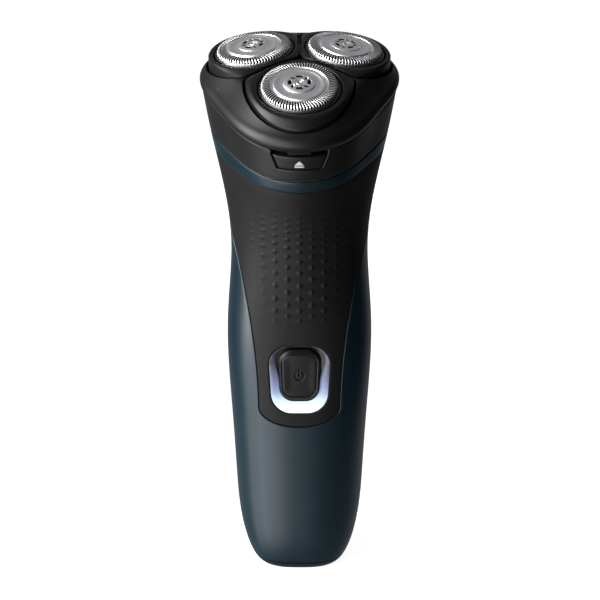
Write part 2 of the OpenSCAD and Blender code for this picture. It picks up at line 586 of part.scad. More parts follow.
// Guard cap: slotted track round a turned middle, as one stainless cup
module guard_cap(k) color([0.8, 0.81, 0.82]) at_cap(k) difference() {
  rotate_extrude() polygon([[0, 0.7], [3.2, 0.7], [4.2, 0.35], [5.8, 0.05], [7.6, 0.15], [7.75, -0.3],
    [8.2, -0.3], [8.35, 0.05], [10.3, 0], [10.8, -0.2], [11, -0.7], [11, -4.3], [10.5, -4.3],
    [10.5, -0.9], [10.2, -0.5], [8, -0.75], [6, -0.5], [0, -0.5]]);
  for (i = [0:cap_slots - 1]) rotate(360 * i / cap_slots) translate([9.9, 0, 0]) rotate(10)
    block([-1.35, -0.16, -1.9], [2, 0.16, 1]);
  for (a = [0:90:270]) rotate(a) {
    translate([2.55, 0, 0]) cube([0.9, 1.7, 4], center = true);
    rotate(45) translate([2.55, 0, 0]) rotate(12) cube([0.45, 1.1, 4], center = true);
  }
}
module cutter(k) color([0.7, 0.71, 0.73]) at_cap(k) difference() {
  union() {
    tube(9.9, 6.6, -3.2, -2.6);
    for (a = [0:120:240]) rotate(a) block([2.6, -1.4, -3.2], [7, 1.4, -2.6]);
    rod(3.2, -5.6, -2);
    for (i = [0:blade_count - 1]) rotate(360 * i / blade_count) translate([9.15, 0, 0]) rotate([14, 0, 0])
      block([-0.7, -0.25, -3], [0.7, 0.25, -0.95]);
  }
  rod(2.5, -7, -2.7, 6);
}
module retaining_ring(k) color([0.2, 0.2, 0.22]) at_cap(k) difference() {
  union() {
    tube(12.15, 10.2, -7.2, -5.7);
    tube(5.6, 4.4, -7.2, -6);
    for (a = [0:120:240]) rotate(a + 60) block([5, -1.1, -7.2], [11, 1.1, -6]);
  }
  for (a = [0:120:240]) rotate(a) block([11.6, -2, -8], [14, 2, -5]);
}
module motor_terminals() color([0.85, 0.7, 0.35]) at_motor() for (x = [-5, 5])
  block([x - 0.25, 3.1, motor_h - motor_l - 4], [x + 0.25, 5.4, motor_h - motor_l - 0.5]);

main_housing();
base_cap();
front_panel();
neck_collar();
release_button();
release_spring();
light_ring();
power_button();
button_seal();
switch_body();
switch_plunger();
circuit_board();
indicator_leds();
inner_frame();
battery();
battery_tabs();
motor_can();
motor_end_cap();
motor_magnets();
motor_shaft();
armature();
pinion();
gear_deck();
gear_axles();
sun_gear();
chamber_floor();
spindle_seals();
deck_screws();
motor_screws();
collar_seal();
hinge_pin();
head_frame();
charging_socket();
socket_pins();
motor_terminals();
for (k = [0:2]) {
  drive_gear(k);
  drive_spindle(k);
  spindle_spring(k);
  petal(k);
  cap_holder(k);
  guard_cap(k);
  cutter(k);
  retaining_ring(k);
}
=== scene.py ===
"""Looks of a three-head rotary shaver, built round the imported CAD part.

Lengths are in mm until a mesh is made.
"""

import math

import bmesh
import bpy
import numpy as np
from mathutils import Matrix, Vector
from mathutils.geometry import delaunay_2d_cdt


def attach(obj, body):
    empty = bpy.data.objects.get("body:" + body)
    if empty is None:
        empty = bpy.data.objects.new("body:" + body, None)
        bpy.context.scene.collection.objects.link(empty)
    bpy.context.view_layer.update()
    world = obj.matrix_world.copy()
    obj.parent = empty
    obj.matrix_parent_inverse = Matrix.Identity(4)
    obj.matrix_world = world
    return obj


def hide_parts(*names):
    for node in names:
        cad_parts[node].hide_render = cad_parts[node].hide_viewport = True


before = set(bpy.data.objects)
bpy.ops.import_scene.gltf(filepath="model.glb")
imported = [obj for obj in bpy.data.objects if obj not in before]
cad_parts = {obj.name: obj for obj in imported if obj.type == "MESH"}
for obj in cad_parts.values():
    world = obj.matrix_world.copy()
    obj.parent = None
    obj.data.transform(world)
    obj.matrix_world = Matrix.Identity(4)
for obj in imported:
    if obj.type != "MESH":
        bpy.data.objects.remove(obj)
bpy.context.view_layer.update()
MM = 0.001
TAU = 2 * math.pi

# ---------------------------------------------------------------- surface of the handle
# Sections from the foot to the rim: height, middle y, lean in degrees, half width, front depth, rear depth,
# three-lobe and square parts of the radius
SECTIONS = np.array([
    [0, 0.5, 0, 18.1, 16.2, 17, 0.3, -0.8],
    [22, 0.5, 0, 19.4, 17.4, 18.4, 0.3, -0.8],
    [48, 0.5, 0, 20.8, 18.4, 19.8, 0.3, -0.8],
    [76, 0.4, 1, 23.1, 18.9, 20.8, 0.3, -0.6],
    [100, 0, 8, 19.7, 17, 19.4, 0.4, -0.2],
    [118, -0.6, 17, 22.2, 21.5, 22.4, 1.2, 0],
    [133, -1, 23, 25.9, 28, 24.4, 2.3, 0.1],
    [146.8, -1.24, 24, 28.4, 34.2, 25.2, 3, 0.2]])
LIP = np.array([0, 0, 0, 27.9, 34.7, 24.5, 3, 0.2])
# The foot narrows below a height, to a share of its width at z 0, along a curve of this power
FOOT_H, FOOT_FLAT, FOOT_POWER = 26, 0.6, 2.3
# Places along the list of sections
BASE_T, PANEL_TOP_T, BAND_TOP_T, LAST_T = 0.12, 5.84, 6.15, 7.0
WALL = 1.8
SEAM = 0.11
BUTTON_Z = 64.5
PAD_Z = BUTTON_Z - 1.25
# Outlines of the button and what lies round it: width, height, corner radius, narrowing at the bottom
PANEL_HOLE = (18.7, 21.2, 6.35, 0.5)
GUIDE_OUTSIDE = (18.4, 20.9, 6.2, 0.5)
GUIDE_INSIDE = (13.6, 16.2, 4.4, 0.3)
BUTTON_PAD = (12.9, 15.5, 4.1, 0.3)
TONGUE_HALF_W, TONGUE_Z, TONGUE_DROP = 12.3, 54, 5.6
INLET = (14.8, 8.1, 4.05, 0)
KEY_TOP, KEY_FOOT = -13.3, -17.55
HEAD_PLACE = np.array([0, -6.0, 157.5])
HEAD_TILT = math.radians(24)
UNIT_ANGLE = [math.radians(x) for x in (-90, 30, 150)]
PETAL_REACH = [32.8, 30, 30]
PETAL_HALF_W = 16.3
PETAL_CORNER = PETAL_HALF_W / math.tan(math.radians(60))
CAP_RING, CAP_TILT = 15.8, math.radians(7.6)
CAP_PIVOT = 7  # depth of the petals' rocking axis below their caps
LAND_R, LAND_Z, TUBE_R = 12.9, -1.25, 11.98
PETAL_FOOT = -8.4
HINGE_Y, HINGE_H, EYE_R, EYE_HOLE_R = 24.4, -10.6, 1.8, 0.86
ARC_U = 22.0  # mm of the flattened surface for a radian round the handle


def spline(t):
    """The section at a place t along the list, by a uniform cubic B-spline."""
    t = np.asarray(t, float)
    ends = np.vstack([2 * SECTIONS[0] - SECTIONS[1], SECTIONS, 2 * SECTIONS[-1] - SECTIONS[-2]])
    i = np.clip(np.floor(t).astype(int), 0, len(SECTIONS) - 2)
    f = (t - i)[..., None]
    return ((1 - f) ** 3 * ends[i] + (3 * f ** 3 - 6 * f ** 2 + 4) * ends[i + 1]
            + (-3 * f ** 3 + 3 * f ** 2 + 3 * f + 1) * ends[i + 2] + f ** 3 * ends[i + 3]) / 6


def section_r(s, a):
    """Radius of a section at angle a from the front."""
    w, front, rear, lobe, square = (s[..., n] for n in range(3, 8))
    depth = (front + rear) / 2
    return ((w + depth) / 2 - square + ((front - rear) / 2 - lobe) * np.cos(a)
            + (depth - w) / 2 * np.cos(2 * a) + lobe * np.cos(3 * a) + square * np.cos(4 * a))


def handle(a, t, off=0.0):
    """Point of the handle's surface at angle a and place t, raised by off."""
    s = spline(t)
    z = np.clip(s[..., 0], 0, None)
    narrow = np.where(z >= FOOT_H, 1.0, FOOT_FLAT + (1 - FOOT_FLAT)
                      * np.clip(1 - np.clip(1 - z / FOOT_H, 0, 1) ** FOOT_POWER, 0, 1) ** (1 / FOOT_POWER))
    r = (section_r(s, a) + off) * narrow
    lean = np.radians(s[..., 2])
    return np.stack([r * np.sin(a), s[..., 1] - r * np.cos(a) * np.cos(lean),
                     s[..., 0] - r * np.cos(a) * np.sin(lean)], -1)


T_TABLE = np.linspace(0, LAST_T, 1400)
V_TABLE = spline(T_TABLE)[:, 0]


def v_of(t):
    """Height in the flattened surface of a place t."""
    return np.interp(t, T_TABLE, V_TABLE)


def flat_handle(uv, off=0.0):
    """Handle surface from flattened coordinates: u round the handle, v up it."""
    return handle(uv[:, 0] / ARC_U, np.interp(uv[:, 1], V_TABLE, T_TABLE), off)


def from_head(q):
    """Shaving head's frame to the part's frame."""
    q = np.asarray(q, float)
    c, s = math.cos(HEAD_TILT), math.sin(HEAD_TILT)
    y, z = c * q[..., 1] - s * q[..., 2], s * q[..., 1] + c * q[..., 2]
    return np.stack([q[..., 0], y, z], -1) + HEAD_PLACE


def to_head(p):
    """Part's frame to the shaving head's frame."""
    p = np.asarray(p, float) - HEAD_PLACE
    c, s = math.cos(HEAD_TILT), math.sin(HEAD_TILT)
    return np.stack([p[..., 0], c * p[..., 1] + s * p[..., 2], -s * p[..., 1] + c * p[..., 2]], -1)


def from_unit(k, q):
    """Frame of shaving unit k, with x pointing outwards, to the part's frame."""
    q = np.asarray(q, float)
    c, s = math.cos(UNIT_ANGLE[k]), math.sin(UNIT_ANGLE[k])
    return from_head(np.stack([c * q[..., 0] - s * q[..., 1], s * q[..., 0] + c * q[..., 1], q[..., 2]], -1))


def cap_to_unit(q):
    """Tilted frame of a guard cap to the frame of its unit."""
    c, s = math.cos(CAP_TILT), math.sin(CAP_TILT)
    q = np.asarray(q, float)
    return np.stack([c * q[..., 0] + s * q[..., 2] + CAP_RING, q[..., 1], -s * q[..., 0] + c * q[..., 2]], -1)


def find(x, z, in_head=False):
    """Flattened coordinates of the front surface's points with these x and heights."""
    x, z = np.asarray(x, float), np.asarray(z, float)

    def seen(uv):
        p = flat_handle(uv)
        p = to_head(p) if in_head else p
        return np.stack([p[:, 0] - x, p[:, 2] - z], -1)
    height = z + (151.5 if in_head else 0)
    uv = np.stack([x * 1.1, height], -1)
    h = 1e-3
    for _ in range(30):
        e = seen(uv)
        du = (seen(uv + [h, 0]) - e) / h
        dv = (seen(uv + [0, h]) - e) / h
        det = du[:, 0] * dv[:, 1] - dv[:, 0] * du[:, 1]
        step = np.stack([(e[:, 0] * dv[:, 1] - dv[:, 0] * e[:, 1]) / det,
                         (du[:, 0] * e[:, 1] - e[:, 0] * du[:, 1]) / det], -1)
        uv = uv - np.clip(step, -4, 4)
    return uv


# ---------------------------------------------------------------- mesh helpers
def smoothstep(a, b, x):
    """Rises from 0 at a to 1 at b."""
    f = np.clip((x - a) / (b - a), 0, 1)
    return f * f * (3 - 2 * f)


def piece(name, verts, faces, body, nodes, material, place=None, sharp=40):
    """A mesh object from points in mm, smooth apart from its sharp edges, riding on a CAD body."""
    mesh = bpy.data.meshes.new(name)
    mesh.from_pydata((np.asarray(verts, float) * MM).tolist(), [], faces)
    bm = bmesh.new()
    bm.from_mesh(mesh)
    bmesh.ops.remove_doubles(bm, verts=bm.verts, dist=2e-6)
    bmesh.ops.dissolve_degenerate(bm, edges=bm.edges, dist=1e-7)
    bmesh.ops.recalc_face_normals(bm, faces=bm.faces)
    bm.to_mesh(mesh)
    bm.free()
    mesh.polygons.foreach_set("use_smooth", [True] * len(mesh.polygons))
    mesh.set_sharp_from_angle(angle=math.radians(sharp))
    mesh.materials.append(material)
    obj = bpy.data.objects.new(name, mesh)
    bpy.context.scene.collection.objects.link(obj)
    if place is not None:
        obj.matrix_world = place
    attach(obj, body)
    if nodes:
        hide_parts(*nodes)
    return obj


class Solid:
    """Collects the vertices and faces of several closed bodies into one mesh."""

    def __init__(self):
        self.verts, self.faces = [], []

    def add(self, verts, faces):
        n = len(self.verts)
        self.verts.extend(np.asarray(verts, float).tolist())
        self.faces.extend([[i + n for i in f] for f in faces])

    def grid(self, p, wrap_rows=True, wrap_cols=True, keep=None):
        """Quads over an array of points [row, column]; the rows or columns can close on themselves."""
        rows, cols = p.shape[:2]
        faces = []
        for i in range(rows if wrap_rows else rows - 1):
            for j in range(cols if wrap_cols else cols - 1):
                if keep is None or keep(i, j):
                    i2, j2 = (i + 1) % rows, (j + 1) % cols
                    faces.append([i * cols + j, i * cols + j2, i2 * cols + j2, i2 * cols + j])
        self.add(p.reshape(-1, 3), faces)

    def block(self, low, high, move=lambda q: q, soft=0.15):
        """A box with chamfered edges."""
        bm = bmesh.new()
        bmesh.ops.create_cube(bm, size=1)
        low, high = np.array(low, float), np.array(high, float)
        for v in bm.verts:
            v.co = Vector((low + high) / 2 + np.array(v.co) * (high - low))
        bmesh.ops.bevel(bm, geom=bm.edges, offset=min(soft, 0.3 * (high - low).min()), segments=2,
                        affect="EDGES", profile=0.5)
        bm.verts.index_update()
        self.add(move(np.array([v.co for v in bm.verts])), [[v.index for v in f.verts] for f in bm.faces])
        bm.free()

    def turned(self, profile, count, move=lambda q: q):
        """A ring-shaped body turned round z from a closed outline of radius and height."""
        a = np.arange(count) * TAU / count
        p = np.array([[[r * math.cos(x), r * math.sin(x), z] for x in a] for r, z in profile])
        self.grid(move(p))


def inside(points, loops):
    """Which points lie inside the loops, by even-odd crossings."""
    c = np.zeros(len(points), bool)
    for loop in loops:
        for (x0, y0), (x1, y1) in zip(loop, np.roll(loop, -1, 0)):
            if y0 != y1:
                c ^= ((y0 > points[:, 1]) != (y1 > points[:, 1])) & (
                    points[:, 0] < (x1 - x0) * (points[:, 1] - y0) / (y1 - y0) + x0)
    return c


def distance(points, lines):
    """Distance from each point to the nearest of the lines."""
    d = np.full(len(points), 1e9)
    for line in lines:
        for a, b in zip(line[:-1], line[1:]):
            ab = b - a
            f = np.clip((points - a) @ ab / max(ab @ ab, 1e-12), 0, 1)
            d = np.minimum(d, np.hypot(*(points - a - f[:, None] * ab).T))
    return d


def resample(line, step):
    """The line with points added, so that none are further apart than step."""
    line = np.asarray(line, float)
    out = [line[0]]
    for a, b in zip(line[:-1], line[1:]):
        n = max(1, int(math.ceil(np.hypot(*(b - a)) / step)))
        out += [a + (b - a) * (i + 1) / n for i in range(n)]
    return np.array(out)


def closed(loop):
    return np.vstack([loop, loop[:1]])


def shifted(line, d):
    """A line moved sideways, to its left when d is positive."""
    t = np.gradient(line, axis=0)
    n = np.stack([-t[:, 1], t[:, 0]], -1) / np.maximum(np.hypot(*t.T), 1e-9)[:, None]
    return line + n * d


def skin(loops, edges, surface, thick, step, radius, relief=None, rows=(), zones=()):
    """A wall over a flattened outline: rounded along its edges, with relief, closed by an inner face.

    loops: outlines in flattened coordinates, the outer one first.
    edges: the lines among them that are real edges.
    rows: more distances from the edges at which points are set.
    zones: (step, test) for finer parts.
    """
    turn = [math.radians(x) for x in (0, 25, 50, 72, 90)]
    depths = sorted({round(radius * (1 - math.cos(x)), 4) for x in turn[1:]} | set(rows))
    seed = [np.vstack([resample(closed(l), step)[:-1] for l in loops])]
    joins, n = [], 0
    for l in loops:
        m = len(resample(closed(l), step)) - 1
        joins += [(n + i, n + (i + 1) % m) for i in range(m)]
        n += m
    for line in edges:
        fine = resample(line, step)
        for d in depths:
            for side in (-1, 1):
                p = shifted(fine, side * d)
                p = p[inside(p, loops)]
                seed.append(p[distance(p, edges) > 0.93 * d])
    everything = np.vstack(loops)
    low, high = everything.min(0), everything.max(0)

    def lattice(pitch):
        xs, ys = np.arange(low[0], high[0], pitch), np.arange(low[1], high[1], pitch * 0.87)
        g = np.array([[x + (j % 2) * pitch / 2, y] for j, y in enumerate(ys) for x in xs])
        g = g[inside(g, loops)]
        return g[distance(g, edges) > (depths[-1] if depths else 0) + 0.35 * pitch]
    plain = lattice(step)
    for pitch, test in zones:
        plain = plain[~test(plain)]
    rim = distance(plain, [closed(l) for l in loops])
    seed.append(plain[rim > 0.3 * step])
    for pitch, test in zones:
        g = lattice(pitch)
        seed.append(g[test(g)])
    points = np.vstack(seed)
    made = delaunay_2d_cdt([Vector(p) for p in points], joins, [], 0, 1e-5)
    flat = np.array([list(v) for v in made[0]])
    tris = np.array([f for f in made[2] if len(f) == 3])
    tris = tris[inside(flat[tris].mean(1), loops)]
    d = distance(flat, edges)
    off = -(radius - np.sqrt(np.maximum(radius ** 2 - (radius - np.minimum(d, radius)) ** 2, 0)))
    if relief is not None:
        off = off + relief(flat, d)
    out = surface(flat, off)
    back = surface(flat, np.full(len(flat), -float(thick)))
    count = {}
    for t in tris:
        for i in range(3):
            e = (int(t[i]), int(t[(i + 1) % 3]))
            key = (min(e), max(e))
            count[key] = None if key in count else e
    n = len(flat)
    on_edge = distance(flat, edges) < 1e-3
    faces = [list(map(int, t)) for t in tris] + [[int(t[2]) + n, int(t[1]) + n, int(t[0]) + n] for t in tris]
    for e in count.values():
        if e is not None and on_edge[e[0]] and on_edge[e[1]]:
            faces.append([e[1], e[0], e[0] + n, e[1] + n])
    return np.vstack([out, back]), faces


# ---------------------------------------------------------------- materials
def material(name, colour, rough, metallic=0.0, level=0.5, tint=0.1, grain=0.0, grain_mm=0.25, cloud_mm=9.0,
             rough_var=0.05, brushed=0.0, ring_mm=0.0):
    """Procedural finish: cloudy colour, roughness that varies, and a fine bump of grain or turning marks."""
    m = bpy.data.materials.new(name)
    m.use_nodes = True
    nodes, links = m.node_tree.nodes, m.node_tree.links
    shader = nodes["Principled BSDF"]
    shader.inputs["Metallic"].default_value = metallic
    shader.inputs["Specular IOR Level"].default_value = level
    where = nodes.new("ShaderNodeTexCoord").outputs["Object"]

    def noise(size_mm, detail=3.0):
        node = nodes.new("ShaderNodeTexNoise")
        node.inputs["Scale"].default_value = 1 / (size_mm * MM)
        node.inputs["Detail"].default_value = detail
        links.new(where, node.inputs["Vector"])
        return node.outputs["Fac"]
    ramp = nodes.new("ShaderNodeValToRGB")
    dark, light = ramp.color_ramp.elements
    dark.position, light.position = 0.3, 0.7
    dark.color = [c * (1 - tint) for c in colour] + [1]
    light.color = [min(1, c * (1 + tint)) for c in colour] + [1]
    links.new(noise(cloud_mm), ramp.inputs["Fac"])
    links.new(ramp.outputs["Color"], shader.inputs["Base Color"])
    spread = nodes.new("ShaderNodeMapRange")
    spread.inputs["To Min"].default_value = max(0.02, rough - rough_var)
    spread.inputs["To Max"].default_value = min(1, rough + rough_var)
    links.new(noise(cloud_mm * 0.4, 5.0), spread.inputs["Value"])
    links.new(spread.outputs["Result"], shader.inputs["Roughness"])
    height = None
    if grain:
        height = noise(grain_mm, 2.0)
    if ring_mm:
        rings = nodes.new("ShaderNodeTexWave")
        rings.wave_type, rings.rings_direction = "RINGS", "Z"
        rings.inputs["Scale"].default_value = 0.3142 / (ring_mm * MM)
        rings.inputs["Distortion"].default_value = 0.15
        rings.inputs["Detail"].default_value = 2.0
        links.new(where, rings.inputs["Vector"])
        height = rings.outputs["Fac"]
    if height is not None:
        bump = nodes.new("ShaderNodeBump")
        bump.inputs["Strength"].default_value = grain or brushed
        bump.inputs["Distance"].default_value = 0.05 * MM
        links.new(height, bump.inputs["Height"])
        links.new(bump.outputs["Normal"], shader.inputs["Normal"])
    return m


MATS = {
    "housing": material("petrol_satin", (0.0014, 0.0102, 0.0162), 0.36, level=0.2, tint=0.05, grain=0.05,
                        cloud_mm=30),
    "base": material("petrol_base", (0.0012, 0.007, 0.011), 0.4, level=0.2, tint=0.06, grain=0.05,
                     cloud_mm=20),
    "panel": material("soft_charcoal", (0.008, 0.008, 0.0082), 0.5, level=0.05, tint=0.06, grain=0.14,
                      cloud_mm=14),
    "head_plastic": material("head_black", (0.005, 0.005, 0.0052), 0.42, level=0.16, tint=0.06, grain=0.08,
                             cloud_mm=16),
    "petal_plastic": material("petal_black", (0.005, 0.005, 0.0052), 0.4, level=0.16, tint=0.06, grain=0.06,
                              cloud_mm=12),
    "button": material("button_black", (0.006, 0.006, 0.0063), 0.36, level=0.12, tint=0.06, grain=0.06,
                       cloud_mm=6),
    "rubber": material("black_rubber", (0.012, 0.012, 0.012), 0.7, level=0.3, tint=0.15, grain=0.3,
                       cloud_mm=4),
    "black_plastic": material("deep_black", (0.006, 0.006, 0.0065), 0.4, level=0.35, tint=0.1, grain=0.1,
                              cloud_mm=5),
    "white_plastic": material("ivory_nylon", (0.62, 0.60, 0.53), 0.45, tint=0.04, grain=0.1, cloud_mm=5),
    "board": material("solder_mask", (0.012, 0.09, 0.035), 0.3, tint=0.25, grain=0.25, grain_mm=0.8,
                      cloud_mm=3),
    "led": material("led_resin", (0.75, 0.80, 0.85), 0.25, tint=0.08, grain=0.05, cloud_mm=1),
    "frame_plastic": material("glass_filled_grey", (0.07, 0.07, 0.075), 0.5, tint=0.12, grain=0.2,
                              cloud_mm=6),
    "cell": material("battery_sleeve", (0.03, 0.17, 0.06), 0.3, tint=0.08, grain=0.04, cloud_mm=8),
    "nickel": material("nickel_strip", (0.62, 0.60, 0.56), 0.28, 1.0, tint=0.08, grain=0.1, cloud_mm=3),
    "can": material("zinc_can", (0.50, 0.51, 0.53), 0.34, 1.0, tint=0.1, grain=0.15, grain_mm=0.6,
                    cloud_mm=4),
    "magnet": material("ferrite", (0.04, 0.04, 0.043), 0.6, 0.2, tint=0.2, grain=0.3, cloud_mm=3),
    "steel": material("ground_steel", (0.58, 0.58, 0.59), 0.24, 1.0, tint=0.06, grain=0.08, cloud_mm=2),
    "spring_steel": material("spring_wire", (0.45, 0.45, 0.46), 0.28, 1.0, tint=0.1, grain=0.1, cloud_mm=1),
    "copper": material("winding_copper", (0.62, 0.25, 0.10), 0.35, 1.0, tint=0.2, grain=0.5, grain_mm=0.4,
                       cloud_mm=2),
    "brass": material("brass", (0.72, 0.50, 0.20), 0.28, 1.0, tint=0.08, grain=0.1, cloud_mm=2),
    "deck": material("pressed_deck", (0.48, 0.49, 0.50), 0.36, 1.0, tint=0.08, grain=0.15, grain_mm=0.5,
                     cloud_mm=5),
    "gear_plastic": material("acetal", (0.70, 0.68, 0.62), 0.38, tint=0.03, grain=0.06, cloud_mm=4),
    "cap_steel": material("cap_steel", (0.70, 0.70, 0.71), 0.33, 1.0, tint=0.05, brushed=0.35, ring_mm=0.42,
                          cloud_mm=6),
    # Cutters far darker than their steel: painted shade, seen through the caps' slots
    "cutter_steel": material("cutter_steel", (0.10, 0.10, 0.105), 0.35, 1.0, tint=0.1, grain=0.15,
                             cloud_mm=2),
}


def glow(name):
    """Light guide: bright at its lower end, fading to grey plastic towards the top."""
    m = material(name, (0.07, 0.072, 0.08), 0.3, level=0.2, tint=0.04, grain=0.04, cloud_mm=4)
    nodes, links = m.node_tree.nodes, m.node_tree.links
    shader = nodes["Principled BSDF"]
    split = nodes.new("ShaderNodeSeparateXYZ")
    links.new(nodes["Texture Coordinate"].outputs["Object"], split.inputs["Vector"])
    level = nodes.new("ShaderNodeMapRange")
    level.inputs["From Min"].default_value = 52 * MM
    level.inputs["From Max"].default_value = 71 * MM
    links.new(split.outputs["Z"], level.inputs["Value"])
    for socket, stops in (
            ("Emission Color", [(0.0, (0.86, 1.0, 1.0)), (0.26, (0.66, 0.88, 1.0)),
                                (0.45, (0.42, 0.52, 0.95)), (1.0, (0.22, 0.25, 0.48))]),
            ("Emission Strength", [(0.0, (1.35,) * 3), (0.2, (1.15,) * 3), (0.36, (0.62,) * 3),
                                   (0.62, (0.3,) * 3), (0.85, (0.1,) * 3), (1.0, (0.02,) * 3)])):
        ramp = nodes.new("ShaderNodeValToRGB")
        points = ramp.color_ramp.elements
        points[0].position, points[0].color = stops[0][0], (*stops[0][1], 1)
        points[1].position, points[1].color = stops[-1][0], (*stops[-1][1], 1)
        for at, colour in stops[1:-1]:
            e = points.new(at)
            e.color = (*colour, 1)
        links.new(level.outputs["Result"], ramp.inputs["Fac"])
        links.new(ramp.outputs["Color"], shader.inputs[socket])
    return m


MATS["light"] = glow("light_guide")
# Darker steel for the caps' underside and the sides of their slots: painted shade, so the slots read dark
CAP_UNDERSIDE_PAINTED_SHADE = material("cap_underside_painted_shade", (0.06, 0.06, 0.062), 0.45, 0.6, tint=0.1, grain=0.1, cloud_mm=2)
MARK = material("light_grey_print", (0.42, 0.42, 0.43), 0.5, tint=0.04, cloud_mm=1)
CARRIED = {
    "rubber": ["button_seal", "collar_seal", "spindle_seals"],
    "black_plastic": ["switch_body", "chamber_floor", "cap_holder_1", "cap_holder_2", "cap_holder_3",
                      "charging_socket", "retaining_ring_1", "retaining_ring_2", "retaining_ring_3"],
    "white_plastic": ["switch_plunger", "motor_end_cap", "drive_spindle_1", "drive_spindle_2",
                      "drive_spindle_3"],
    "board": ["circuit_board"], "led": ["indicator_leds"], "frame_plastic": ["inner_frame"],
    "cell": ["battery"], "nickel": ["battery_tabs", "socket_pins"], "can": ["motor_can"],
    "magnet": ["motor_magnets"],
    "steel": ["motor_shaft", "gear_axles", "hinge_pin", "deck_screws", "motor_screws"],
    "spring_steel": ["release_spring", "spindle_spring_1", "spindle_spring_2", "spindle_spring_3"],
    "copper": ["armature"], "brass": ["pinion", "motor_terminals"], "deck": ["gear_deck"],
    "gear_plastic": ["sun_gear", "drive_gear_1", "drive_gear_2", "drive_gear_3"],
    "cutter_steel": ["cutter_1", "cutter_2", "cutter_3"],
}
for slot_name, names in CARRIED.items():
    for node_name in names:
        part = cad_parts[node_name]
        part.data.materials.clear()
        part.data.materials.append(MATS[slot_name])


# ---------------------------------------------------------------- outlines on the handle
def tongue_w(z):
    """Half width of the panel at a height; above 106 it reaches the middle plane of the sides."""
    return np.where(z > 106, 40.0, TONGUE_HALF_W + 8.6 * (np.clip(z - TONGUE_Z, 0, None) / 52) ** 1.9)


def tongue_edge(t):
    """Angle of the panel's side edge at each place t."""
    a = np.linspace(0.02, 1.75, 700)
    out = []
    for place in t:
        p = handle(a, np.full_like(a, place))
        over = (p[:, 0] > tongue_w(p[:, 2])) | (p[:, 1] > 0)
        out.append(a[int(np.argmax(over))])
    return np.array(out)


def tongue_line(grow):
    """Panel outline, from the top left round the bottom to the top right, moved outwards by grow."""
    bottom = np.linspace(0, math.pi / 2, 26)
    low = find(TONGUE_HALF_W * np.sin(bottom), TONGUE_Z - TONGUE_DROP * np.cos(bottom))
    start = np.interp(low[-1, 1], V_TABLE, T_TABLE)
    t = np.linspace(start, PANEL_TOP_T, 120)[1:]
    a = tongue_edge(t)
    a = np.convolve(np.pad(a, 2, mode="edge"), np.ones(5) / 5, "valid")
    side = np.stack([a * ARC_U, v_of(t)], -1)
    right = np.vstack([low, side])
    left = right[::-1] * [-1, 1]
    line = np.vstack([left[:-1], right])
    return shifted(resample(line, 0.8), -grow)


def pad(w, h, r, taper, n=14):
    """Rounded outline in x and z, a little narrower at the bottom."""
    out = []
    for cx, cz, start in ((w / 2 - r, h / 2 - r, 0), (r - w / 2, h / 2 - r, 90),
                          (r + taper - w / 2, r - h / 2, 180), (w / 2 - r - taper, r - h / 2, 270)):
        for i in range(n + 1):
            b = math.radians(start + 90 * i / n)
            out.append([cx + r * math.cos(b), cz + r * math.sin(b)])
    return np.array(out)


def on_front(outline, z):
    """An outline round height z of the front surface, in flattened coordinates."""
    return find(outline[:, 0], outline[:, 1] + z)


TONGUE_IN, TONGUE_OUT = tongue_line(-SEAM), tongue_line(SEAM)
U_BACK = math.pi * ARC_U


# ---------------------------------------------------------------- housing, base and panel
def make_housing():
    low, high = v_of(BASE_T), v_of(BAND_TOP_T)
    rim = np.array([[-U_BACK, low], [U_BACK, low], [U_BACK, high], [-U_BACK, high]])
    edges = [rim[:2], rim[2:], closed(TONGUE_OUT)]
    verts, faces = skin([rim, TONGUE_OUT], edges, flat_handle, WALL, 1.5, 0.28)
    return piece("housing_shell", verts, faces, "root", ["main_housing"], MATS["housing"])


def make_base():
    """Foot: rounded side, flat underside with the inlet's opening."""
    t = np.linspace(0, BASE_T - 0.006, 9)
    a = np.arange(160) * TAU / 160
    side = [handle(a, np.full_like(a, x)) for x in t]
    foot, top = side[0], side[-1]
    centre = np.array([0, 0.5, 0])

    def scaled(ring, k, z):
        out = centre + (ring - centre) * [k, k, 0]
        out[:, 2] = z
        return out
    inlet = pad(*INLET, 12)
    inlet = inlet[np.argsort(np.arctan2(inlet[:, 1], inlet[:, 0]))]
    want = np.arctan2(foot[:, 1], foot[:, 0])
    have = np.arctan2(inlet[:, 1], inlet[:, 0])
    radius = np.interp(want, np.r_[have - TAU, have, have + TAU], np.tile(np.hypot(*inlet.T), 3))
    mouth = np.stack([radius * np.cos(want), radius * np.sin(want), 0 * want], -1)
    profile = [scaled(top, k, top[0, 2] - drop)
               for k, drop in ((0.9, 1.3), (0.9, 0.02), (0.985, 0.02), (0.997, 0.1))]
    profile += side[-2:0:-1]
    profile += [scaled(foot, k, z) for k, z in ((1.0, 0.175), (0.985, 0.05), (0.97, 0.0))]
    profile += [mouth + (scaled(foot, 0.97, 0.0) - mouth) * f for f in (0.7, 0.4, 0.1)]
    profile += [mouth * [k, k, 1] + [0, 0, z] for k, z in ((1.0, 0.0), (0.985, 0.2), (0.98, 1.4))]
    solid = Solid()
    solid.grid(np.array(profile))
    return piece("foot_cap", solid.verts, solid.faces, "root", ["base_cap"], MATS["base"], sharp=50)


# Rows of the grip's bumps: their pitch over the height, and the count of rows up to each height
ROW_Z = np.linspace(70, 125, 300)
ROW_PITCH = 4.0 - 2.0 * smoothstep(90, 112, ROW_Z) - 1.2 * smoothstep(90, 80, ROW_Z)
ROW_COUNT = np.concatenate([[0], np.cumsum(np.diff(ROW_Z) * 2 / (ROW_PITCH[1:] + ROW_PITCH[:-1]))])
COLUMN = 3.6


